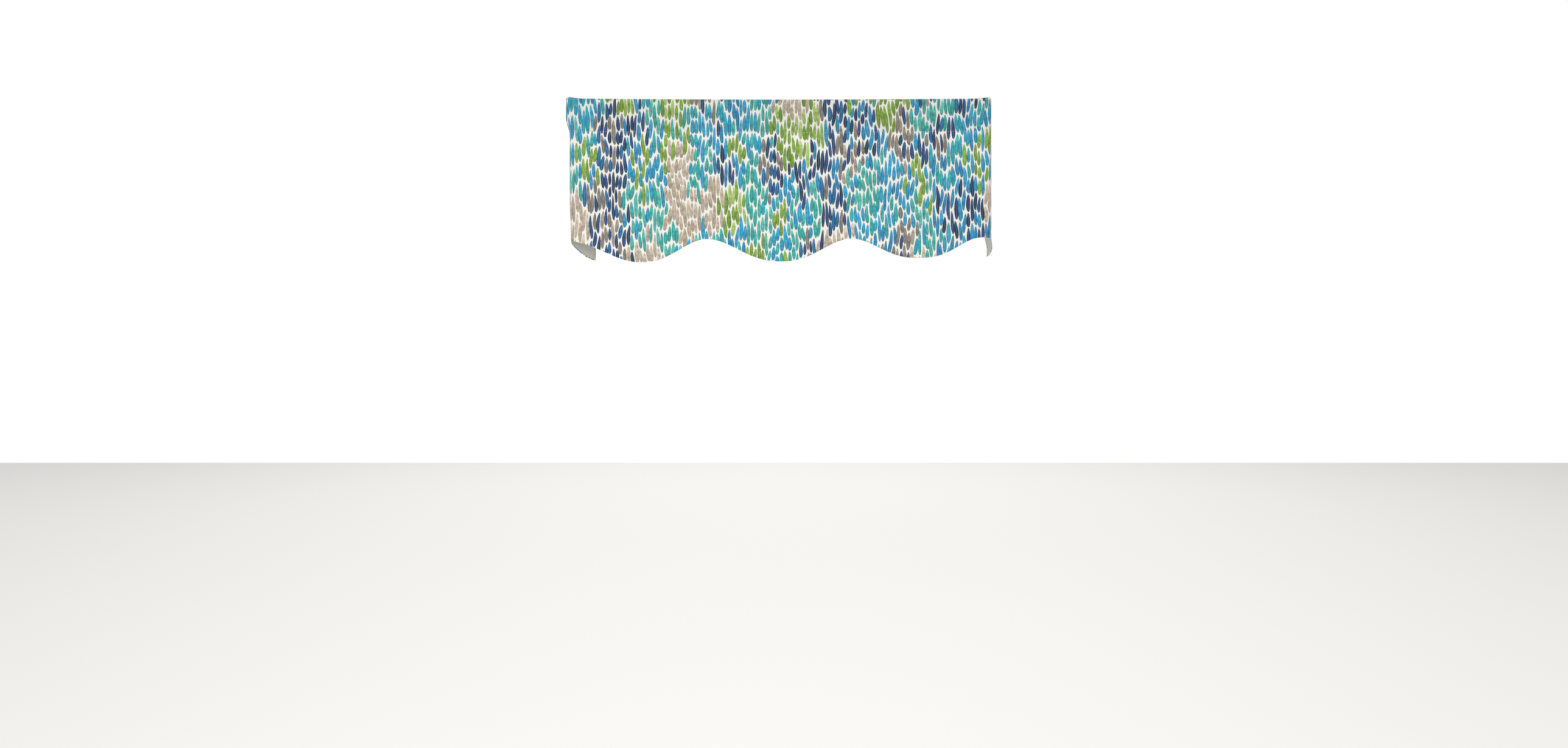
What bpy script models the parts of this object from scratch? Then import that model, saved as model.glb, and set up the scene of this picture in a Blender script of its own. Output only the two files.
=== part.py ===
"""Lined window valance with a scalloped hem, as it hangs from the rod pocket along its top fold.

Sizes are in metres. The origin is the middle of the top fold, +X runs to the right and the front
faces -Y. In plan the cloth is a wide U: a front, two soft corners and two returns that run back to
the wall. Every point of it is found from its place on the cloth: how far along it lies from the
middle of the front, how far it drops below the top fold, and how deep it lies behind the face.
"""
import math

import bmesh
import bpy
from mathutils import Vector

NAME = "window_valance"

# Cloth, measured along it from the middle of the front to each back edge
LEFT_GIRTH = 0.633
RIGHT_GIRTH = 0.630
FACE_THICK = 0.0012
LINING_THICK = 0.0010
GAP = 0.0003  # between pieces of cloth that touch

# Rod pocket
POCKET_DEPTH = 0.013  # from its front to its back, outside
POCKET_PARALLEL = 0.066  # drop at which its walls start to close
STITCH_DROP = 0.085
STITCH_PULL = 0.0004  # how far the stitches draw the face in
STITCH_SPREAD = 0.013  # how far from the stitches the face is flat again
SEAM_ALLOWANCE = 0.004  # of the back wall, below the stitches
FOLD_RADIUS = POCKET_DEPTH / 2
FOLD_STEPS = 6
BACK_TURN = 0.010  # how far the face runs straight down behind the fold

# Lining
HEM_INSET = 0.005  # from the hem to the lining's lower edge
END_INSET = 0.004  # from each back edge to the lining's end

# Corners, where the cloth turns back towards the wall
POCKET_CORNER_RADIUS = 0.016  # round the ends of the rod
LEFT_CORNER_RADIUS = 0.022  # below the rod, on the side where the cloth hangs slack
LEFT_REACH = 0.5508  # along the cloth to where it faces sideways
RIGHT_REACH = 0.5515
LEFT_PUSH = 0.005  # how far the end of the rod pushes the left corner out
PUSH_TO = 0.056  # drop at which that push starts to fade
LEFT_DRAW = 0.003  # how far the left corner has drawn in at the hem
DRAW_FROM = 0.230  # drop at which it starts to
LEFT_SWING = math.radians(41)  # how far the left return swings inwards at the hem
RIGHT_FLARE = math.radians(-23)  # at the hem the right return starts outwards
RIGHT_CURL = math.radians(12)  # and curls back in towards its back edge
RIGHT_HANG = math.radians(2)  # how far that back edge turns in above the flare
FLARE_FROM = 0.340  # drops between which the right return flares
FLARE_TO = 0.380

# Top fold: it sags between its ends, and rises round the ends of the rod
SAG = 0.0025
EAR_RISE = 0.0045
EAR_FROM = 0.500
EAR_TO = 0.545

# Scalloped hem: distance along the cloth, and drop below the top fold
SCALLOPS = (
    # along, drop, tightness of the span up to the next row (over 1: broad low, tight crest)
    (-0.6755, 0.4105, 1.900),  # low, past the left back edge
    (-0.5330, 0.3672, 1.000),
    (-0.3560, 0.4175, 1.195),
    (-0.1840, 0.3570, 1.195),
    (0.0040, 0.4140, 1.195),
    (0.1840, 0.3560, 1.195),
    (0.3510, 0.4062, 1.420),
    (0.5115, 0.3560, 1.544),
    (0.6871, 0.4019, 1.000),  # low, past the right back edge
)

# Soft swells below the pocket: centre along the cloth, half width, and how far each stands out
SWELLS = (
    # along, half width, forward
    (-0.370, 0.130, 0.0030),
    (-0.185, 0.090, -0.0012),
    (0.010, 0.150, 0.0035),
    (0.190, 0.080, -0.0014),
    (0.345, 0.120, 0.0026),
)

# Steps along the cloth: where each stretch ends, and its number of faces
STRETCHES = (
    # end, faces
    (-LEFT_GIRTH + END_INSET, 1),
    (-0.580, 3),
    (-0.505, 14),
    (0.522, 44),
    (0.560, 8),
    (RIGHT_GIRTH - END_INSET, 5),
    (RIGHT_GIRTH, 1),
)
BODY_ROWS = 6  # faces from the pocket down to the lining's lower edge


def smooth(value, start, end):
    """A soft step from 0 at start to 1 at end."""
    t = min(max((value - start) / (end - start), 0.0), 1.0)
    return t * t * (3 - 2 * t)


def hem_drop(along):
    """Drop of the scalloped hem below the top fold."""
    for (left, left_drop, tightness), (right, right_drop, _) in zip(SCALLOPS, SCALLOPS[1:]):
        if left <= along <= right:
            t = (along - left) / (right - left)
            if left_drop < right_drop:
                t = 1 - t
            low, crest = max(left_drop, right_drop), min(left_drop, right_drop)
            rise = 0.5 - 0.5 * math.cos(math.pi * t**tightness)
            return low + (crest - low) * rise
    raise ValueError("no scallop there")


def fold_height(along):
    """Height of the top fold above the origin."""
    out = min(abs(along), EAR_FROM) / EAR_FROM
    return SAG * out * out + EAR_RISE * smooth(abs(along), EAR_FROM, EAR_TO)


def left_corner(drop):
    """Radius, reach along the cloth, and how far past square the return turns, at both its ends."""
    slack = smooth(drop, POCKET_PARALLEL, STITCH_DROP + STITCH_SPREAD)
    radius = POCKET_CORNER_RADIUS + (LEFT_CORNER_RADIUS - POCKET_CORNER_RADIUS) * slack
    hem = hem_drop(-LEFT_REACH)
    reach = LEFT_REACH + LEFT_PUSH * (1 - smooth(drop, PUSH_TO, STITCH_DROP))
    reach -= LEFT_DRAW * smooth(drop, DRAW_FROM, hem)
    swing = LEFT_SWING * smooth(drop, STITCH_DROP, hem)
    return radius, reach, swing, swing


def right_corner(drop):
    """The same for the right corner, whose return flares out at the hem and curls back in."""
    flared = smooth(drop, FLARE_FROM, FLARE_TO)
    hang = RIGHT_HANG * smooth(drop, STITCH_DROP, FLARE_FROM)
    return POCKET_CORNER_RADIUS, RIGHT_REACH, RIGHT_FLARE * flared, hang + RIGHT_CURL * flared


def plan(along, drop):
    """The cloth's run at one level: x, depth back from the front, and the direction inwards."""
    left = along < 0
    radius, reach, near_swing, back_swing = left_corner(drop) if left else right_corner(drop)
    turn = math.pi / 2 + near_swing
    straight = reach - radius * math.pi / 2
    along = abs(along)
    angle = min(max((along - straight) / radius, 0.0), turn)
    x = min(along, straight) + radius * math.sin(angle)
    depth = radius * (1 - math.cos(angle))
    rest = along - straight - radius * turn
    if rest > 0:
        length = (LEFT_GIRTH if left else RIGHT_GIRTH) - straight - radius * turn
        angle += (back_swing - near_swing) * rest / length
        middle = (angle + turn) / 2  # a gentle arc runs close to its chord
        x += rest * math.cos(middle)
        depth += rest * math.sin(middle)
    side = -1 if left else 1
    return side * x, depth, Vector((-side * math.sin(angle), math.cos(angle), 0))


def swell(along, drop):
    """How far the face stands out in front of a flat plane below the pocket."""
    grown = smooth(drop, STITCH_DROP, SCALLOPS[2][1])
    out = 0.0
    for centre, half_width, forward in SWELLS:
        out += forward * (1 - smooth(abs(along - centre), 0, half_width))
    return out * grown


def face_inset(along, drop):
    """How far the face lies behind its plain run: in at the stitches, out in the swells."""
    pull = STITCH_PULL * (1 - smooth(abs(drop - STITCH_DROP), 0, STITCH_SPREAD))
    return pull - swell(along, drop)


def pocket_inset(along, drop):
    """The inner side of the pocket's back wall, which closes on the face at the stitches."""
    hollow = POCKET_DEPTH - 2 * FACE_THICK - GAP
    open_part = 1 - smooth(drop, POCKET_PARALLEL, STITCH_DROP)
    return face_inset(along, drop) + FACE_THICK + GAP + hollow * open_part


def lining_inset(along, drop):
    """The side of the lining that lies against the back of the face."""
    return face_inset(along, drop) + FACE_THICK + GAP


def place(along, drop, inset):
    """The point in space of a point of the cloth."""
    x, depth, inwards = plan(along, drop)
    run = Vector((x, depth - FOLD_RADIUS, fold_height(along) - drop))
    return run + inwards * inset


def columns(left_end, right_end):
    """Places along the cloth, close together round the corners."""
    places = [-LEFT_GIRTH]
    for end, faces in STRETCHES:
        start = places[-1]
        places += [start + (end - start) * step / faces for step in range(1, faces + 1)]
    return [p for p in places if left_end - GAP < p < right_end + GAP]


def body_drops(along, top, to_hem):
    """Drops from the pocket down to the lining's lower edge, and on to the hem for the face."""
    bottom = hem_drop(along) - HEM_INSET
    drops = [top + (bottom - top) * row / BODY_ROWS for row in range(1, BODY_ROWS + 1)]
    return drops + [hem_drop(along)] if to_hem else drops


def face_rows(along):
    """Drop and inset of each row of the face, from the back of the top fold to the hem."""
    rows = [(FOLD_RADIUS + BACK_TURN, POCKET_DEPTH)]
    for step in range(FOLD_STEPS + 1):
        angle = math.pi * (step / FOLD_STEPS - 0.5)
        rows.append((FOLD_RADIUS * (1 - math.cos(angle)), FOLD_RADIUS * (1 - math.sin(angle))))
    below = STITCH_DROP + STITCH_SPREAD
    drops = [(PUSH_TO + FOLD_RADIUS) / 2, PUSH_TO, POCKET_PARALLEL]
    drops += [STITCH_DROP - STITCH_SPREAD, STITCH_DROP, below]
    drops += body_drops(along, below, True)
    return rows + [(drop, face_inset(along, drop)) for drop in drops]


def pocket_rows(along):
    """Drop and inset of each row of the pocket's back wall, from the top fold to its lower edge."""
    top = FOLD_RADIUS + BACK_TURN + GAP
    closing = [POCKET_PARALLEL + (STITCH_DROP - POCKET_PARALLEL) * step / 4 for step in range(5)]
    drops = [top, (top + PUSH_TO) / 2, PUSH_TO] + closing + [STITCH_DROP + SEAM_ALLOWANCE]
    return [(drop, pocket_inset(along, drop)) for drop in drops]


def lining_rows(along):
    """Drop and inset of each row of the lining, from the pocket to just above the hem."""
    below = STITCH_DROP + STITCH_SPREAD
    drops = [STITCH_DROP + SEAM_ALLOWANCE + GAP, below] + body_drops(along, below, False)
    return [(drop, lining_inset(along, drop)) for drop in drops]


def cloth(name, rows, places, thick, material, collection):
    """A sheet of cloth: a grid hung point by point, then given its thickness inwards."""
    table = [[place(along, drop, inset) for drop, inset in rows(along)] for along in places]
    across, down = len(table), len(table[0])
    bpy.ops.mesh.primitive_grid_add(x_subdivisions=across - 1, y_subdivisions=down - 1, size=2)
    sheet = bpy.context.object
    sheet.name = sheet.data.name = name
    for vertex in sheet.data.vertices:
        column = round((vertex.co.x + 1) / 2 * (across - 1))
        row = round((1 - vertex.co.y) / 2 * (down - 1))
        vertex.co = table[column][row]
    work = bmesh.new()
    work.from_mesh(sheet.data)
    middle = min(work.faces, key=lambda face: abs(face.calc_center_median().x))
    if middle.normal.y > 0:
        bmesh.ops.reverse_faces(work, faces=work.faces)
    work.to_mesh(sheet.data)
    work.free()
    sheet.data.shade_smooth()
    sheet.data.materials.append(material)
    solid = sheet.modifiers.new("Thickness", "SOLIDIFY")
    solid.thickness = thick
    solid.offset = -1
    solid.use_even_offset = True
    for holder in sheet.users_collection:
        holder.objects.unlink(sheet)
    collection.objects.link(sheet)
    return sheet


def cloth_material(name, colour, roughness):
    """A plain woven cloth."""
    material = bpy.data.materials.new(name)
    material.use_nodes = True
    shader = material.node_tree.nodes["Principled BSDF"]
    shader.inputs["Base Color"].default_value = (*colour, 1)
    shader.inputs["Roughness"].default_value = roughness
    shader.inputs["Metallic"].default_value = 0
    return material


def build():
    for old in list(bpy.data.objects):
        bpy.data.objects.remove(old, do_unlink=True)
    collection = bpy.data.collections.new(NAME)
    bpy.context.scene.collection.children.link(collection)
    whole = columns(-LEFT_GIRTH, RIGHT_GIRTH)
    lined = columns(-LEFT_GIRTH + END_INSET, RIGHT_GIRTH - END_INSET)
    printed = cloth_material("printed canvas", (0.30, 0.47, 0.50), 0.9)
    turned = cloth_material("printed canvas, turned down", (0.30, 0.47, 0.50), 0.9)
    plain = cloth_material("lining cloth", (0.80, 0.79, 0.74), 0.9)
    cloth("face_panel", face_rows, whole, FACE_THICK, printed, collection)
    cloth("pocket_back", pocket_rows, whole, FACE_THICK, turned, collection)
    cloth("lining", lining_rows, lined, LINING_THICK, plain, collection)


build()
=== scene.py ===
"""A lined window valance with a scalloped hem, hung from the rod pocket along its top fold."""
import math

import bmesh
import bpy
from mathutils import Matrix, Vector


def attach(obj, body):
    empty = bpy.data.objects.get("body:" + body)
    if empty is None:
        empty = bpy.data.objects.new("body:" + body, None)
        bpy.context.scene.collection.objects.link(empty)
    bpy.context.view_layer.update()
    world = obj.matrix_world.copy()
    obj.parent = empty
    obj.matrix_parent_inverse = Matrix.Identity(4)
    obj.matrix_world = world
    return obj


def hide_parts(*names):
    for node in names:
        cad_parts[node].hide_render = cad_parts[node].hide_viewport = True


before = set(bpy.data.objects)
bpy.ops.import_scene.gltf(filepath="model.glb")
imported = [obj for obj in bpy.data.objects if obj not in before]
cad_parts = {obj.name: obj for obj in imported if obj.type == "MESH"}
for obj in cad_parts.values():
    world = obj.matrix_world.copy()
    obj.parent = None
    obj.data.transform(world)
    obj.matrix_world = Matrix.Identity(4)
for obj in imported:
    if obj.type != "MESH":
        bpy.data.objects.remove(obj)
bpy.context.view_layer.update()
bpy.ops.object.select_all(action="DESELECT")

# Camera. The valance is seen square on from 2.7 m away and 0.7 m below its top fold, as it looks
# from a chair. The lens takes in 4 m of wall at that distance.
bpy.ops.object.camera_add(location=(0.0116, -2.7065, -0.7006), rotation=(math.pi / 2, 0, 0))
camera = bpy.context.object
camera.name = "camera"
camera.data.lens = 24.34
camera.data.sensor_width = 36
camera.data.dof.use_dof = False
bpy.context.scene.camera = camera

# Studio. A pale painted floor 2.1 m below the top fold, and soft white light from all round as from
# a bright room hung with white paper. One wide lamp stands in front, one hangs overhead, and a
# third hangs further back over the floor.
bpy.context.scene.view_settings.view_transform = "Standard"


def linear(hex_colour):
    """An sRGB hex colour as linear red, green, blue and a full alpha."""
    parts = [int(hex_colour[i:i + 2], 16) / 255 for i in (0, 2, 4)]
    return [p / 12.92 if p <= 0.04045 else ((p + 0.055) / 1.055) ** 2.4 for p in parts] + [1]


def add(tree, kind, sockets=None, **settings):
    """Adds a node with its settings; a socket is given a value, or another node's output."""
    made = tree.nodes.new(kind)
    for setting, value in settings.items():
        setattr(made, setting, value)
    for socket, value in (sockets or {}).items():
        if isinstance(value, bpy.types.NodeSocket):
            tree.links.new(value, made.inputs[socket])
        else:
            made.inputs[socket].default_value = value
    return made


def new_material(name):
    """A material, with its node tree and its shader."""
    made = bpy.data.materials.new(name)
    made.use_nodes = True
    return made, made.node_tree, made.node_tree.nodes["Principled BSDF"]


bpy.ops.mesh.primitive_grid_add(x_subdivisions=24, y_subdivisions=24, size=28,
                                location=(0, 0, -2.1))
floor = bpy.context.object
floor.name = "floor"
bpy.ops.object.transform_apply(location=True)
painted, tree, shader = new_material("matt floor paint")  # rolled on: even, with a fine stipple
shader.inputs["Base Color"].default_value = linear("F4F3F0")
shader.inputs["Roughness"].default_value = 0.8
place_on = add(tree, "ShaderNodeTexCoord").outputs["Object"]
stipple = add(tree, "ShaderNodeTexNoise", {"Vector": place_on, "Scale": 300.0})
bump = add(tree, "ShaderNodeBump", {"Height": stipple.outputs["Fac"], "Strength": 0.05})
tree.links.new(bump.outputs["Normal"], shader.inputs["Normal"])
floor.data.materials.append(painted)

world = bpy.data.worlds.new("bright room")
bpy.context.scene.world = world
world.use_nodes = True
tree = world.node_tree
room = tree.nodes["Background"]  # the light that the room gives
room.inputs["Color"].default_value = linear("FFFFFF")
room.inputs["Strength"].default_value = 0.66
paper = add(tree, "ShaderNodeBackground", {"Color": linear("FFFFFF"), "Strength": 1.0})
seen = add(tree, "ShaderNodeLightPath").outputs["Is Camera Ray"]
both = add(tree, "ShaderNodeMixShader", {0: seen, 1: room.outputs[0], 2: paper.outputs[0]})
tree.links.new(both.outputs[0], tree.nodes["World Output"].inputs["Surface"])

for name, spot, aim, size, power in (
        ("front_light", (-0.5, -2.8, 0.3), (0.1, 0, -0.3), 1.2, 39),
        ("overhead_light", (0, 0.5, 4.5), (0, 0.5, 0), 8.0, 140),
        ("floor_light", (0, 12.0, 7.0), (0, 12.0, 0), 12.0, 450)):
    bpy.ops.object.light_add(type="AREA", location=spot)
    lamp = bpy.context.object
    lamp.name = name
    lamp.data.size = size
    lamp.data.energy = power
    lamp.rotation_euler = (Vector(aim) - lamp.location).to_track_quat("-Z", "Y").to_euler()

# Printed cloth. One piece of cotton duck makes the front, both returns and the rod pocket: its top
# is folded over to the back, its raw edge turned under and sewn down, and its other three edges
# roll to the inside by a millimetre or two, where the lining is seamed to them.
LEFT_GIRTH, RIGHT_GIRTH = 0.633, 0.630  # along the cloth, from the middle to each back edge
CLOTH_THICK = 0.0007
EDGE_RADIUS = 0.00085  # round a turned edge, to the printed side
HEM_TURN, SIDE_TURN = 0.0014, 0.0006  # width that is turned in beyond that round
POCKET_DEPTH = 0.013  # from its front to its back, outside
POCKET_PARALLEL, STITCH_DROP = 0.066, 0.085  # drops where its walls start to close, and meet
FOLD_RADIUS = POCKET_DEPTH / 2
STRIP_EDGE = 0.0888  # drop of the back wall's turned-under edge, just below the stitches
STRIP_RADIUS = 0.000725  # round that edge, to the printed side
STRIP_GAP = 0.0029  # how far the wall lies behind the front at the stitches, both printed sides
TUCK_GAP, TUCK_WIDTH = 0.00145, 0.009  # the same for what is turned under, and its width
FLAT_CURL = 0.3  # share of the side edge's curl that is left where the pocket is sewn flat
PUCKER_DEPTH = 0.0004  # how far the stitches draw the front in
PUCKER_SPREAD = 0.026  # how far from them it is flat again

# Corners. The rod's end pushes the left one out, and below it the cloth hangs slack.
POCKET_RADIUS, LEFT_RADIUS = 0.016, 0.022  # round the ends of the rod, and on the left below it
LEFT_REACH, RIGHT_REACH = 0.5508, 0.5515  # along the cloth to where it faces sideways
SLACK_DROP = 0.098  # drop from which the cloth is free of the pocket
LEFT_PUSH, PUSH_TO = 0.005, 0.056  # how far out, and the drop where that starts to fade
LEFT_DRAW, DRAW_FROM = 0.003, 0.230  # how far in it is at the hem, and the drop where that starts
LEFT_SWING = math.radians(41)  # how far the left return swings inwards at the hem
RIGHT_FLARE = math.radians(-23)  # at the hem the right return starts outwards
RIGHT_CURL = math.radians(12)  # and curls back in towards its back edge
RIGHT_HANG = math.radians(2)  # how far that edge leans in above the flare
FLARE_FROM, FLARE_TO = 0.340, 0.380  # drops between which it comes to flare

# Top fold. It sags between its ends, and rises round the ends of the rod.
SAG, EAR_RISE = 0.0025, 0.0045
EAR_FROM, EAR_TO = 0.5, 0.545  # along the cloth, where it starts to rise and where it has

SCALLOPS = (
    # along, drop, tightness of the span up to the next row: lows and crests of the hem
    (-0.6755, 0.4105, 1.900), (-0.5330, 0.3672, 1.000), (-0.3560, 0.4175, 1.195),
    (-0.1840, 0.3570, 1.195), (0.0040, 0.4140, 1.195), (0.1840, 0.3560, 1.195),
    (0.3510, 0.4062, 1.420), (0.5115, 0.3560, 1.544), (0.6871, 0.4019, 1.000),
)
LOWEST = max(drop for along, drop, tightness in SCALLOPS)  # drop of the longest belly
SWELLS = (
    # along, half width, forward
    (-0.370, 0.130, 0.0030), (-0.185, 0.090, -0.0012), (0.010, 0.150, 0.0035),
    (0.190, 0.080, -0.0014), (0.345, 0.120, 0.0026),
)
PUCKERS = (
    # wave length, height, phase: drawn up by the row of stitches
    (0.0170, 0.00016, 0.4), (0.0237, 0.00020, 2.1), (0.0391, 0.00018, 4.4), (0.0713, 0.00022, 1.2),
)
HEM_WAVES = (
    # wave length, height, phase: the hem is pressed by hand
    (0.31, 0.0003, 0.5), (0.117, 0.0002, 2.0),
)


def smooth(value, start, end):
    """A soft step from 0 at start to 1 at end."""
    t = min(max((value - start) / (end - start), 0.0), 1.0)
    return t * t * (3 - 2 * t)


def hem_drop(along):
    """Drop of the scalloped hem below the top fold."""
    for (left, left_drop, tight), (right, right_drop, _) in zip(SCALLOPS, SCALLOPS[1:]):
        if left <= along <= right:
            t = (along - left) / (right - left)
            if left_drop < right_drop:
                t = 1 - t
            low, crest = max(left_drop, right_drop), min(left_drop, right_drop)
            return low + (crest - low) * (0.5 - 0.5 * math.cos(math.pi * t**tight))


def plan(along, drop):
    """The cloth's run at one level: x, depth back from the front, and the direction inwards."""
    left = along < 0
    along = abs(along)
    if left:
        hem = hem_drop(-LEFT_REACH)
        radius = POCKET_RADIUS
        radius += (LEFT_RADIUS - POCKET_RADIUS) * smooth(drop, POCKET_PARALLEL, SLACK_DROP)
        reach = LEFT_REACH + LEFT_PUSH * (1 - smooth(drop, PUSH_TO, STITCH_DROP))
        reach -= LEFT_DRAW * smooth(drop, DRAW_FROM, hem)
        near = far = LEFT_SWING * smooth(drop, STITCH_DROP, hem)
    else:
        flared = smooth(drop, FLARE_FROM, FLARE_TO)
        radius, reach = POCKET_RADIUS, RIGHT_REACH
        near = RIGHT_FLARE * flared
        far = RIGHT_HANG * smooth(drop, STITCH_DROP, FLARE_FROM) + RIGHT_CURL * flared
    # near and far are how much further than square the return turns, at its two ends
    turn = math.pi / 2 + near
    straight = reach - radius * math.pi / 2
    angle = min(max((along - straight) / radius, 0.0), turn)
    x = min(along, straight) + radius * math.sin(angle)
    depth = radius * (1 - math.cos(angle))
    rest = along - straight - radius * turn
    if rest > 0:
        length = (LEFT_GIRTH if left else RIGHT_GIRTH) - straight - radius * turn
        angle += (far - near) * rest / length
        middle = (angle + turn) / 2  # a gentle arc runs close to its chord
        x += rest * math.cos(middle)
        depth += rest * math.sin(middle)
    side = -1 if left else 1
    return side * x, depth, Vector((-side * math.sin(angle), math.cos(angle), 0))


def waver(along, waves):
    """A wandering line: a few waves of unlike length added up."""
    return sum(high * math.sin(2 * math.pi * along / length + phase)
               for length, high, phase in waves)


def face_inset(along, drop):
    """How far the front lies behind its plain run: puckered by the stitches, out in the swells."""
    near = 1 - smooth(abs(drop - STITCH_DROP), 0, PUCKER_SPREAD)
    pull = (PUCKER_DEPTH + waver(along, PUCKERS)) * near
    out = sum(high * (1 - smooth(abs(along - centre), 0, half)) for centre, half, high in SWELLS)
    return pull - out * smooth(drop, STITCH_DROP, LOWEST)


def strip_inset(along, drop):
    """The printed side of the pocket's back wall."""
    closed = face_inset(along, drop) + STRIP_GAP
    return closed + (POCKET_DEPTH - closed) * (1 - smooth(drop, POCKET_PARALLEL, STITCH_DROP))


def place(along, drop, inset):
    """The point in space of a point of the cloth."""
    x, depth, inwards = plan(along, drop)
    out = min(abs(along), EAR_FROM) / EAR_FROM
    top = SAG * out * out + EAR_RISE * smooth(abs(along), EAR_FROM, EAR_TO)
    return Vector((x, depth - FOLD_RADIUS, top - drop)) + inwards * inset


def steps(start, end, count):
    """Evenly spaced values after start, up to end."""
    return [start + (end - start) * step / count for step in range(1, count + 1)]


def spans(ends, counts):
    """Values after the first of these ends up to the last, with a count of steps for each span."""
    return [value for start, end, count in zip(ends, ends[1:], counts)
            for value in steps(start, end, count)]


def hung(name, columns, rows, point, reverse, thick):
    """A sheet of cloth hung point by point, its UV map in metres of flat cloth, then thickened.

    point(column, row) gives a place in space and a place on the flat cloth. It is on the sheet's
    right side, which faces outwards, or inwards if reverse is set. The second of the sheet's two
    materials is for its wrong side."""
    table = [[point(column, row) for row in rows] for column in columns]
    across, down = len(columns), len(rows)
    bpy.ops.mesh.primitive_grid_add(x_subdivisions=across - 1, y_subdivisions=down - 1, size=2)
    sheet = bpy.context.object
    sheet.name = sheet.data.name = name
    cells = []
    for vertex in sheet.data.vertices:
        column = round((vertex.co.x + 1) / 2 * (across - 1))
        row = round((1 - vertex.co.y) / 2 * (down - 1))
        cells.append(table[column][row])
    flat = sheet.data.uv_layers.active.data
    for loop in sheet.data.loops:
        flat[loop.index].uv = cells[loop.vertex_index][1]
    for vertex, cell in zip(sheet.data.vertices, cells):
        vertex.co = cell[0]
    work = bmesh.new()
    work.from_mesh(sheet.data)
    if reverse:
        bmesh.ops.reverse_faces(work, faces=work.faces)
    bmesh.ops.remove_doubles(work, verts=work.verts, dist=1e-6)
    work.to_mesh(sheet.data)
    work.free()
    for side in range(2):
        sheet.data.materials.append(None)
    solid = sheet.modifiers.new("thickness", "SOLIDIFY")
    solid.thickness = thick
    solid.offset = -1
    solid.material_offset = 1
    bpy.ops.object.modifier_apply(modifier="thickness")
    sheet.data.shade_smooth()
    sheet.select_set(False)
    return sheet


def hem_turn(along):
    """How far the hem rolls to the inside, which wanders a little."""
    return HEM_TURN + waver(along, HEM_WAVES)


# Columns: a place along the cloth, how far round the turned side edge, and the share of what is
# turned in beyond that round. They stand closest at the edges and round the corners.
EDGE_STEPS = (0.0, 0.0006, 0.0014, 0.0030, 0.0055)  # away from a turned edge
EDGE_TURNS = (30, 60, 90, 120, 150, 180)  # round it, in degrees
TURN_SHARES = (0.33, 0.66, 1)  # of what is turned in beyond it
BENDS = (-0.585, -0.500, 0.515, 0.556)  # where the left corner starts and ends, and the right one
face_left, face_right = -LEFT_GIRTH + EDGE_RADIUS, RIGHT_GIRTH - EDGE_RADIUS
inner = [face_left + away for away in EDGE_STEPS]
inner += spans((inner[-1], *BENDS, face_right - EDGE_STEPS[-1]), (9, 26, 236, 14, 15))
inner += [face_right - away for away in reversed(EDGE_STEPS[:-1])]
columns = [(face_left, 180, share) for share in reversed(TURN_SHARES)]
columns += [(face_left, angle, 0) for angle in reversed(EDGE_TURNS)]
columns += [(along, 0, 0) for along in inner]
columns += [(face_right, angle, 0) for angle in EDGE_TURNS]
columns += [(face_right, 180, share) for share in TURN_SHARES]

# Rows: a part of the cloth, and how far through that part. They run from the raw edge that is
# turned under, up the pocket's back wall, over the top fold and down the front to the turned hem.
STRIP_DROPS = (0.0880, STITCH_DROP, 0.0822, 0.0796, 0.0770, 0.0744, 0.0718, 0.0690,
               POCKET_PARALLEL, 0.0560, 0.0440, 0.0320, 0.0200, 0.0120, FOLD_RADIUS)
FRONT_DROPS = (FOLD_RADIUS, 0.0120, 0.0200, 0.0300, 0.0400, 0.0480, 0.0560, 0.0630, 0.0690,
               0.0740, 0.0780, 0.0815, STITCH_DROP, 0.0885, 0.0925, 0.0975, 0.1040, 0.1120)
rows = [("tuck", share) for share in (0.0, 0.5, 1.0)]
rows += [("strip edge", angle) for angle in (-60, -30, 0, 30, 60)]
rows += [("strip", drop) for drop in STRIP_DROPS]
rows += [("fold", angle) for angle in range(72, -73, -18)]
rows += [("front", drop) for drop in FRONT_DROPS]
rows += [("body", share) for share in steps(0, 1, 36)]
rows += [("last", away) for away in reversed(EDGE_STEPS[:-1])]
rows += [("hem edge", angle) for angle in EDGE_TURNS]
rows += [("hem turn", share) for share in TURN_SHARES]


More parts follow.
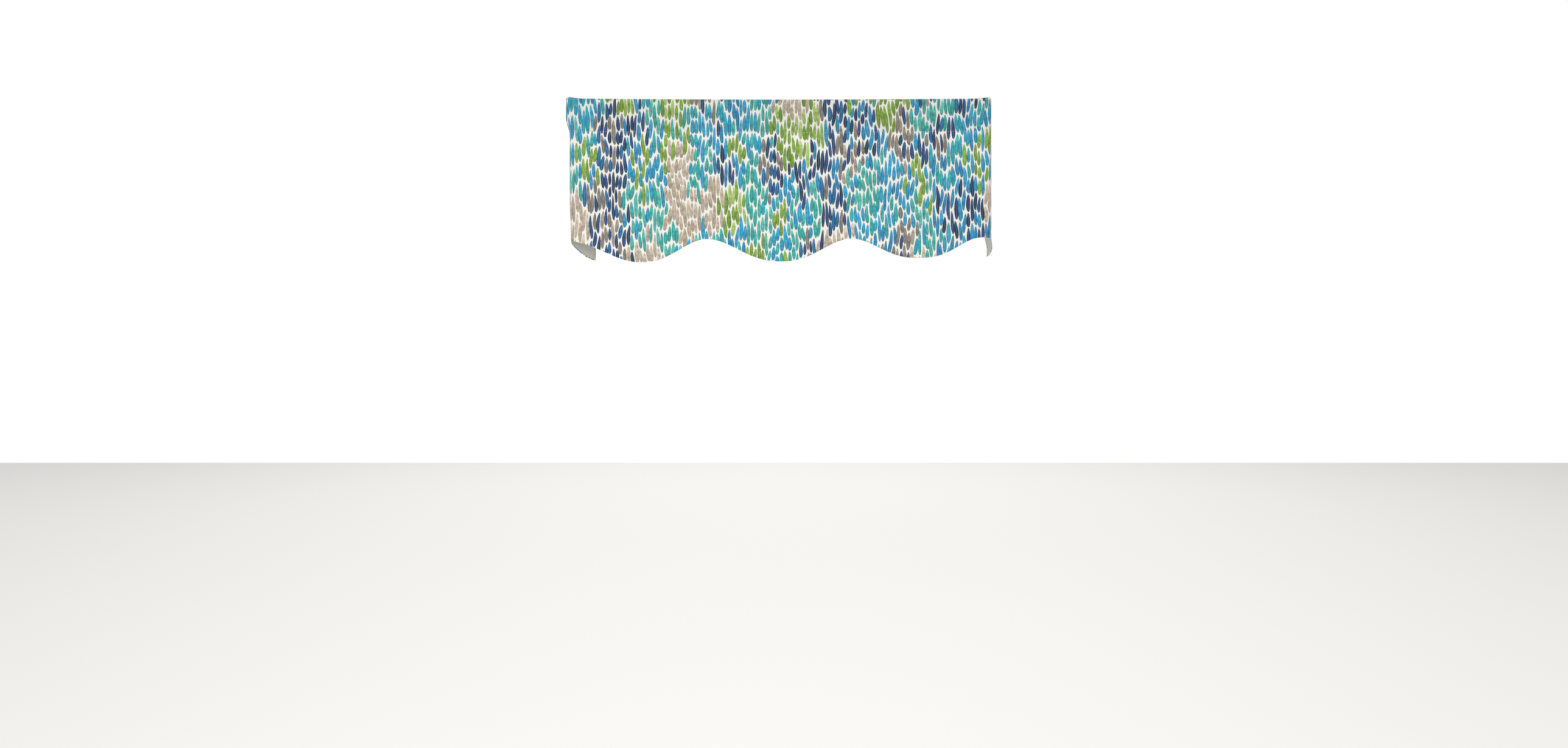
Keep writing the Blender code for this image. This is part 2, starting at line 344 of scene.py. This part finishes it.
def printed_point(column, row):
    """Where a point of the printed cloth hangs, and its place on the flat cloth."""
    along, side_angle, side_share = column
    part, value = row
    side = 1 if along > 0 else -1
    turn = math.radians(side_angle)
    hem_in = hem_drop(along) - EDGE_RADIUS
    over = FOLD_RADIUS * (math.pi / 2 - 1)  # what the round of the fold adds to a drop
    curl, back = 1.0, SIDE_TURN  # how far a side edge curls in, and what is turned beyond that
    turned = 0.0  # how far round the hem's edge
    if part == "tuck":
        drop = STRIP_EDGE - STRIP_RADIUS - TUCK_WIDTH * (1 - value)
        inset = face_inset(along, drop) + TUCK_GAP
        flat_v = over + 2 * (STRIP_EDGE - STRIP_RADIUS) - drop + math.pi * STRIP_RADIUS
        curl, back = FLAT_CURL, 0.0
    elif part == "strip edge":
        angle = math.radians(value)
        drop = STRIP_EDGE - STRIP_RADIUS * (1 - math.cos(angle))
        inset = face_inset(along, drop) + TUCK_GAP + STRIP_RADIUS * (1 + math.sin(angle))
        flat_v = over + STRIP_EDGE - STRIP_RADIUS * (1 - math.pi / 2 + angle)
        curl, back = FLAT_CURL, 0.0
    elif part == "strip":
        drop, inset, flat_v = value, strip_inset(along, value), over + value
        open_part = 1 - smooth(drop, POCKET_PARALLEL, STITCH_DROP)
        curl, back = -FLAT_CURL - (1 - FLAT_CURL) * open_part, SIDE_TURN * open_part
    elif part == "fold":
        angle = math.radians(value)
        radius = FOLD_RADIUS - EDGE_RADIUS * (1 - math.cos(turn))
        drop = FOLD_RADIUS - radius * math.cos(angle)
        inset = FOLD_RADIUS + radius * math.sin(angle)
        flat_v, curl = FOLD_RADIUS * angle, 0.0
    else:
        if part == "front":
            drop = value
        elif part == "body":
            drop = FRONT_DROPS[-1] + (hem_in - EDGE_STEPS[-1] - FRONT_DROPS[-1]) * value
        elif part == "last":
            drop = hem_in - value
        elif part == "hem edge":
            turned = math.radians(value)
            drop = hem_in + EDGE_RADIUS * math.sin(turned)
        else:
            turned = math.pi
            to_side = abs((face_right if side > 0 else face_left) - along)
            drop = hem_in - min(hem_turn(along), to_side) * value
        inset = face_inset(along, drop) + EDGE_RADIUS * (1 - math.cos(turned))
        flat_v = -over - (2 * hem_in - drop if part == "hem turn" else min(drop, hem_in))
        flat_v -= EDGE_RADIUS * turned
        back = min(SIDE_TURN, max(hem_in - drop, 0)) if part != "hem turn" else 0.0
    reach = EDGE_RADIUS * (abs(curl) if curl else 1)
    flat_u = along + side * (EDGE_RADIUS * turn + back * side_share)
    along += side * (reach * math.sin(turn) - back * side_share)
    # where both edges turn they share one depth, so the corner comes out square and flat
    inset += EDGE_RADIUS * curl * (1 - math.cos(turn)) * (1 + math.cos(turned)) / 2
    return place(along, drop, inset), (flat_u, flat_v)


printed_cloth = hung("printed_cloth", columns, rows, printed_point, False, CLOTH_THICK)

# The print is small willow leaves, upright and close together, in patches of like colours.
GROUND = "E2DFD7"
FAMILIES = (
    ("0C3460", "134578", "7F7973", "186698"),  # navy, with a stone grey
    ("134578", "1D82AF", "0C3460", "2294BF"),  # deep blues
    ("209BC5", "1D82AF", "2DA5A8", "27A0B8"),  # bright blues
    ("30A59E", "4CB2A9", "2FA5A0", "249AC0"),  # teals
    ("80A63F", "A4BD6D", "769B34", "6C962E"),  # greens
    ("2FA5A0", "76993A", "2294BF", "80A63F"),  # teal, blue and green
    ("BBAD9A", "C3B5A2", "B3A48F", "BBAD9A"),  # sand
    ("857D74", "A2978A", "134578", "857D74"),  # stone greys, with a navy
)
PATCHES = (1 / 0.070, 1 / 0.105, 1.0)  # patches of one family of colours in a metre
PATCH_STRAY = (0.030, 0.044, 0.0)  # how far over its patch's edge a leaf may stray
LEAF_COLUMN = 0.0190  # from column to column; the second set of leaves stands between the first
LEAF_TALL = (0.034, 0.074)  # room for a leaf, from the shortest columns to the tallest
LEAF_HALF = (0.0042, 0.0054)  # half the width of a leaf
LEAF_STRAY = 0.0016  # room for it to stand off the middle of its column
LEAF_LEAN = 0.16  # room for it to lean, as a slope
THREAD = 0.0011  # duck has a thread each 0.5 mm; it is drawn twice as coarse so that it shows
THREAD_DEEP = 0.0004  # height of the weave's relief


def maths(tree, operation, *values):
    """A sum with numbers, or with other nodes' outputs."""
    return add(tree, "ShaderNodeMath", dict(enumerate(values)), operation=operation).outputs[0]


def eased(tree, value, start, end, low, high):
    """Goes from low to high while the value goes from start to end."""
    sockets = {"Value": value, "From Min": start, "From Max": end, "To Min": low, "To Max": high}
    return add(tree, "ShaderNodeMapRange", sockets).outputs["Result"]


def vector_maths(tree, operation, *values):
    """A sum with places or colours."""
    sockets = dict(enumerate(values))
    return add(tree, "ShaderNodeVectorMath", sockets, operation=operation).outputs[0]


def toned(tree, colour, tone):
    """A colour made darker or lighter."""
    sockets = {0: colour, "Scale": tone}
    return add(tree, "ShaderNodeVectorMath", sockets, operation="SCALE").outputs[0]


def mixed(tree, share, first, second, blend="MIX"):
    """Two colours laid over each other, with so large a share of the second."""
    sockets = {0: share, 6: first, 7: second}
    return add(tree, "ShaderNodeMix", sockets, data_type="RGBA", blend_type=blend).outputs[2]


def leaf_layer(tree, at, shift, seed):
    """One set of small upright leaves in staggered columns: where they are, and their colour."""
    moved = vector_maths(tree, "ADD", at, shift)
    parts = add(tree, "ShaderNodeSeparateXYZ", {0: moved}).outputs
    across = maths(tree, "DIVIDE", parts[0], LEAF_COLUMN)
    column = maths(tree, "FLOOR", across)
    column_noise = add(tree, "ShaderNodeTexWhiteNoise", {"W": maths(tree, "ADD", column, seed)},
                       noise_dimensions="1D").outputs["Color"]
    chance = add(tree, "ShaderNodeSeparateColor", {0: column_noise}).outputs
    tall = maths(tree, "MULTIPLY_ADD", chance[0], LEAF_TALL[1] - LEAF_TALL[0], LEAF_TALL[0])
    rows_down = maths(tree, "DIVIDE", parts[1], tall)
    down = maths(tree, "MULTIPLY_ADD", chance[1], 9.0, rows_down)  # each starts elsewhere
    cell = add(tree, "ShaderNodeCombineXYZ", {0: column, 1: maths(tree, "FLOOR", down), 2: seed})
    leaf_noise = add(tree, "ShaderNodeTexWhiteNoise", {"Vector": cell.outputs[0]},
                     noise_dimensions="3D").outputs
    each = add(tree, "ShaderNodeSeparateColor", {0: leaf_noise["Color"]}).outputs
    # place on the leaf: x from its midrib and y from its middle, in metres
    share = maths(tree, "SUBTRACT", maths(tree, "FRACT", down), 0.5)
    y = maths(tree, "MULTIPLY", share, tall)
    x = maths(tree, "SUBTRACT", maths(tree, "FRACT", across), 0.5)
    x = maths(tree, "MULTIPLY", x, LEAF_COLUMN)
    off_centre = add(tree, "ShaderNodeCombineXYZ", {0: x, 1: y}).outputs[0]
    centre = vector_maths(tree, "SUBTRACT", at, off_centre)
    x = maths(tree, "MULTIPLY_ADD", maths(tree, "SUBTRACT", each[1], 0.5), LEAF_STRAY, x)
    lean = maths(tree, "MULTIPLY_ADD", each[2], LEAF_LEAN, -LEAF_LEAN / 2)
    x = maths(tree, "ABSOLUTE", maths(tree, "MULTIPLY_ADD", lean, y, x))
    # outline: a lens, fuller below its middle, that fills most of its room from tip to tip
    tip = maths(tree, "MULTIPLY_ADD", each[2], 0.06, 0.44)
    along_rib = maths(tree, "DIVIDE", share, tip)
    lens = maths(tree, "SUBTRACT", 1.0, maths(tree, "MULTIPLY", along_rib, along_rib))
    lens = maths(tree, "MAXIMUM", lens, 0.0)
    fullest = maths(tree, "MULTIPLY_ADD", each[0], LEAF_HALF[1] - LEAF_HALF[0], LEAF_HALF[0])
    half = maths(tree, "MULTIPLY", fullest, maths(tree, "POWER", lens, 0.50))
    half = maths(tree, "MULTIPLY", half, maths(tree, "MULTIPLY_ADD", along_rib, -0.2, 1.0))
    inside = maths(tree, "SUBTRACT", half, x)
    mask = eased(tree, inside, 0.0, 0.0003, 0.0, 1.0)
    # colour: one family for each patch of cloth, and one of its tones for each leaf
    strayed = vector_maths(tree, "MULTIPLY_ADD", leaf_noise["Color"], PATCH_STRAY, centre)
    spread = add(tree, "ShaderNodeMapping", {"Vector": strayed, "Scale": PATCHES}).outputs[0]
    patch = add(tree, "ShaderNodeTexVoronoi", {"Vector": spread, "Scale": 1.0},
                voronoi_dimensions="2D").outputs["Color"]
    patch = add(tree, "ShaderNodeSeparateColor", {0: patch}).outputs[0]
    families = float(len(FAMILIES))
    family = maths(tree, "FLOOR", maths(tree, "MULTIPLY", patch, families))
    pick = maths(tree, "DIVIDE", maths(tree, "ADD", family, leaf_noise["Value"]), families)
    ramp = add(tree, "ShaderNodeValToRGB", {0: pick})
    ramp.color_ramp.interpolation = "CONSTANT"
    inks = [ink for family_inks in FAMILIES for ink in family_inks]
    for number, ink in enumerate(inks):
        stops = ramp.color_ramp.elements
        # a new ramp has two stops already
        stop = stops[number] if number < 2 else stops.new(number / len(inks))
        stop.position = number / len(inks)
        stop.color = linear(ink)
    # watercolour tone: pooled at the lower tip, dark at the rim and thin over the midrib
    wash = add(tree, "ShaderNodeTexNoise", {"Vector": moved, "Scale": 110.0, "Detail": 3.0})
    tone = eased(tree, wash.outputs["Fac"], 0.3, 0.7, 0.58, 1.22)
    tone = maths(tree, "MULTIPLY", tone, eased(tree, along_rib, -1.0, 0.8, 0.80, 1.08))
    tone = maths(tree, "MULTIPLY", tone, eased(tree, inside, 0.0, 0.0008, 0.74, 1.0))
    colour = toned(tree, ramp.outputs["Color"], tone)
    # side veins run out and up from the midrib, both a little paler than the leaf
    slant = maths(tree, "MULTIPLY_ADD", x, -2000.0, maths(tree, "MULTIPLY", y, 2200.0))
    vein = eased(tree, maths(tree, "SINE", slant), 0.55, 1.0, 0.0, 0.07)
    midrib = eased(tree, x, 0.00010, 0.00035, 0.32, 0.0)
    pale = maths(tree, "MAXIMUM", vein, midrib)
    return mask, mixed(tree, pale, colour, linear(GROUND))


def woven(tree, at, thread, deep):
    """Plain weave: a bump of crossing threads, and the slubs that lighten and darken them."""
    parts = add(tree, "ShaderNodeSeparateXYZ", {0: at}).outputs
    sines = [maths(tree, "SINE", maths(tree, "MULTIPLY", parts[axis], math.pi / thread))
             for axis in (0, 1)]
    over = maths(tree, "MULTIPLY", *sines)
    slubs = []
    for stretch in ((0.10, 1.0, 1.0), (1.0, 0.10, 1.0)):  # a slub is long, along its own thread
        along_thread = add(tree, "ShaderNodeMapping", {"Vector": at, "Scale": stretch}).outputs[0]
        sockets = {"Vector": along_thread, "Scale": 0.6 / thread, "Detail": 2.0}
        slubs.append(add(tree, "ShaderNodeTexNoise", sockets).outputs["Fac"])
    slub = maths(tree, "ADD", *slubs)
    height = maths(tree, "MULTIPLY_ADD", slub, 1.5, over)
    bump = add(tree, "ShaderNodeBump", {"Height": height, "Strength": 0.35, "Distance": deep})
    return slub, bump.outputs["Normal"]


duck, tree, shader = new_material("printed cotton duck")  # matt, dry and slightly slubby
shader.inputs["Roughness"].default_value = 0.88
shader.inputs["Sheen Weight"].default_value = 0.12
shader.inputs["Sheen Roughness"].default_value = 0.5
shader.inputs["Specular IOR Level"].default_value = 0.25
flat = add(tree, "ShaderNodeUVMap").outputs["UV"]
warped = flat
for scale, detail, strays in (
        (13.0, 1.0, (0.016, 0.030, 0.0)),  # the columns of leaves wander
        (300.0, 2.0, (0.0016, 0.0028, 0.0))):  # and the leaves' outlines are uneven
    noise = add(tree, "ShaderNodeTexNoise", {"Vector": flat, "Scale": scale, "Detail": detail})
    warped = vector_maths(tree, "MULTIPLY_ADD", noise.outputs["Color"], strays, warped)
colour = linear(GROUND)
for number in range(2):
    # 2 m off, so that no cell counts from below nought, and the second set half a column over
    shift = (2.0 + number * LEAF_COLUMN / 2, 2.0 + number * 1.4, 0.0)
    mask, ink = leaf_layer(tree, warped, shift, 7.0 + 31 * number)
    if number:  # ink over ink is deeper
        ink = mixed(tree, 0.35, ink, colour, "MULTIPLY")
    colour = mixed(tree, mask, colour, ink)
slub, normal = woven(tree, flat, THREAD, THREAD_DEEP)
colour = toned(tree, colour, eased(tree, slub, 0.7, 1.3, 0.90, 1.06))
# Painted light and shade in the base colour: painted lighter towards the hem, as daylight glowing
# through the cloth, painted a tone darker from the pocket's stitches up, as shade of the doubled
# pocket, and darker still along its fold.
up = add(tree, "ShaderNodeSeparateXYZ", {0: flat}).outputs[1]
from_fold = maths(tree, "ABSOLUTE", up)
for where, start, end, painted_light_start, painted_light_end in (
        # painted light: lighter towards the hem
        (up, -0.400, -0.270, 1.05, 1.0),
        # painted shade: darker from the stitches up over the pocket
        (up, -0.0905, -0.0870, 1.0, 0.89),
        # painted shade: darker still along the top fold
        (from_fold, 0.002, 0.0105, 0.90, 1.0)):
    colour = toned(tree, colour, eased(tree, where, start, end, painted_light_start, painted_light_end))
tree.links.new(colour, shader.inputs["Base Color"])
tree.links.new(normal, shader.inputs["Normal"])

# the ink hardly strikes through, so it is off-white with faint blue shadows
wrong_side, tree, shader = new_material("cotton duck, wrong side")
shader.inputs["Roughness"].default_value = 0.9
shader.inputs["Specular IOR Level"].default_value = 0.25
flat = add(tree, "ShaderNodeUVMap").outputs["UV"]
ghost = add(tree, "ShaderNodeTexNoise", {"Vector": flat, "Scale": 60.0, "Detail": 2.0})
struck = eased(tree, ghost.outputs["Fac"], 0.4, 0.6, 0.0, 0.3)
colour = mixed(tree, struck, linear("E6E3DA"), linear("AEBBC0"))
tree.links.new(colour, shader.inputs["Base Color"])
tree.links.new(woven(tree, flat, THREAD, THREAD_DEEP)[1], shader.inputs["Normal"])

printed_cloth.data.materials[0] = duck
printed_cloth.data.materials[1] = wrong_side
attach(printed_cloth, "root")
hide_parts("face_panel", "pocket_back")

# Stitches. One row of pale spun thread sews the pocket's turned-under edge down through all the
# layers, so it shows on the front as fine dashes and again on the back of the pocket.
STITCH_PITCH = 0.0032
STITCH_HALF = 0.00125  # half of one stitch's length
STITCH_MARGIN = 0.003  # from each back edge to the row's end
STITCH_LIFT = 0.00012  # the thread's middle stands off the cloth
THREAD_RADIUS = 0.00021  # sewing thread is 0.15 mm; it is drawn stouter so that it shows
bpy.ops.mesh.primitive_uv_sphere_add(segments=6, ring_count=4, radius=1)
stitches = bpy.context.object
stitches.name = stitches.data.name = "pocket_stitches"
one = [vertex.co.zxy for vertex in stitches.data.vertices]  # its poles are the stitch's ends
one_faces = [tuple(face.vertices) for face in stitches.data.polygons]
points, faces = [], []
for number in range(round((LEFT_GIRTH + RIGHT_GIRTH - 2 * STITCH_MARGIN) / STITCH_PITCH)):
    along = -LEFT_GIRTH + STITCH_MARGIN + (number + 0.5) * STITCH_PITCH
    for inset_at, lift in ((face_inset, -STITCH_LIFT), (strip_inset, STITCH_LIFT)):
        ends = [place(along + away, STITCH_DROP, inset_at(along, STITCH_DROP) + lift)
                for away in (-STITCH_HALF, STITCH_HALF)]
        middle, run = (ends[0] + ends[1]) / 2, (ends[1] - ends[0]) / 2
        inwards = plan(along, STITCH_DROP)[2] * THREAD_RADIUS
        up = Vector((0, 0, THREAD_RADIUS))
        faces += [tuple(len(points) + corner for corner in face) for face in one_faces]
        points += [middle + run * p.x + inwards * p.y + up * p.z for p in one]
stitches.data.clear_geometry()
stitches.data.from_pydata(points, [], faces)
bpy.ops.object.mode_set(mode="EDIT")
bpy.ops.mesh.select_all(action="SELECT")
bpy.ops.mesh.normals_make_consistent(inside=False)
bpy.ops.object.mode_set(mode="OBJECT")
stitches.data.shade_smooth()
stitches.select_set(False)

spun, tree, shader = new_material("spun polyester thread")  # two plies, with a soft low lustre
shader.inputs["Roughness"].default_value = 0.55
shader.inputs["Sheen Weight"].default_value = 0.2
place_on = add(tree, "ShaderNodeTexCoord").outputs["Object"]
plies = add(tree, "ShaderNodeTexWave", {"Vector": place_on, "Scale": 420.0},
            bands_direction="DIAGONAL")
colour = mixed(tree, plies.outputs["Fac"], linear("C4C7C3"), linear("DCDCD6"))
bump = add(tree, "ShaderNodeBump", {"Height": plies.outputs["Fac"], "Strength": 0.3,
                                    "Distance": 0.0001})
tree.links.new(colour, shader.inputs["Base Color"])
tree.links.new(bump.outputs["Normal"], shader.inputs["Normal"])
stitches.data.materials.append(spun)
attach(stitches, "root")

# Lining. A lighter plain cotton sateen covers the inside from the pocket down. Its top edge is
# caught under the pocket's edge, and its other edges are seamed to the printed cloth's turnings.
LINING_THICK = 0.0005
LINING_TOP = 0.0805  # drop of its top edge
LINING_CLEAR = 0.0002  # from its other edges to the turnings that they are seamed to
LINING_GAP = 0.00135  # how far its right side lies behind the front's printed side, at the stitches
LINING_EASE = 0.00020  # how much further, below the pocket
LINING_SLACK, SLACK_WIDTH = 0.0028, 0.060  # and where it hangs loose, this far from any seam
LINING_PINCH = 0.00050  # how much nearer, along its sewn edges
LINING_WAVES = (
    # wave length, height, phase: the soft upright folds that it hangs in
    (0.059, 0.0004, 1.0), (0.083, 0.0007, 1.0), (0.147, 0.0008, 3.0), (0.310, 0.0006, 0.4),
)
CROSS_WAVES = ((0.19, 0.0005, 0.5),)  # the same, for one faint fold across it
WAVE_LEAN = 0.06  # how far its upright folds lean

LINING_STEPS = (0.0, 0.0005, 0.0012)  # away from a sewn edge
LAST_EVEN = 0.0030  # from its lower edge to the last of the even rows
SATEEN_THREAD, SATEEN_DEEP = 0.0009, 0.0002  # it is woven finer than the duck
lining_left = -LEFT_GIRTH + EDGE_RADIUS + SIDE_TURN + LINING_CLEAR
lining_right = RIGHT_GIRTH - EDGE_RADIUS - SIDE_TURN - LINING_CLEAR


def lining_point(along, row):
    """Where a point of the lining hangs: it is a little slack between its seams."""
    part, value = row
    bottom = hem_drop(along) - EDGE_RADIUS - hem_turn(along) - LINING_CLEAR
    if part == "top":
        drop = value
    elif part == "body":
        drop = SLACK_DROP + (bottom - LAST_EVEN - SLACK_DROP) * value
    else:
        drop = bottom - value
    side = min(along - lining_left, lining_right - along)
    edge = min(side, bottom - drop)
    slack = smooth(min(side, bottom - drop, drop - STRIP_EDGE), 0.0, SLACK_WIDTH)
    loose = LINING_SLACK + waver(along + WAVE_LEAN * drop, LINING_WAVES)
    loose += waver(drop, CROSS_WAVES)
    inset = LINING_GAP + LINING_EASE * smooth(drop, STRIP_EDGE, SLACK_DROP) + slack * loose
    inset -= LINING_PINCH * (1 - smooth(edge, 0.0, LINING_STEPS[-1]))
    return place(along, drop, face_inset(along, drop) + inset), (along, -drop)


columns = [lining_left + away for away in LINING_STEPS]
columns += spans((columns[-1], *BENDS, lining_right - LINING_STEPS[-1]), (6, 20, 120, 12, 9))
columns += [lining_right - away for away in reversed(LINING_STEPS[:-1])]
rows = [("top", drop) for drop in (LINING_TOP, 0.0850, STRIP_EDGE, 0.0915, SLACK_DROP)]
rows += [("body", share) for share in steps(0, 1, 34)]
rows += [("last", away) for away in reversed(LINING_STEPS)]
lining_cloth = hung("lining_cloth", columns, rows, lining_point, True, LINING_THICK)

sateen, tree, shader = new_material("cotton sateen lining")  # close woven, with a faint soft gleam
shader.inputs["Roughness"].default_value = 0.72
shader.inputs["Sheen Weight"].default_value = 0.15
flat = add(tree, "ShaderNodeUVMap").outputs["UV"]
slub, normal = woven(tree, flat, SATEEN_THREAD, SATEEN_DEEP)
shade = eased(tree, slub, 0.7, 1.3, 0.0, 1.0)
# the grey beige is partly the lining's own colour and partly painted shade, darker than an
# off-white lining, for the inside of the valance
colour = mixed(tree, shade, linear("B4B2AA"), linear("C1BFB8"))
tree.links.new(colour, shader.inputs["Base Color"])
tree.links.new(normal, shader.inputs["Normal"])
lining_cloth.data.materials[0] = sateen
lining_cloth.data.materials[1] = sateen
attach(lining_cloth, "root")
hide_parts("lining")
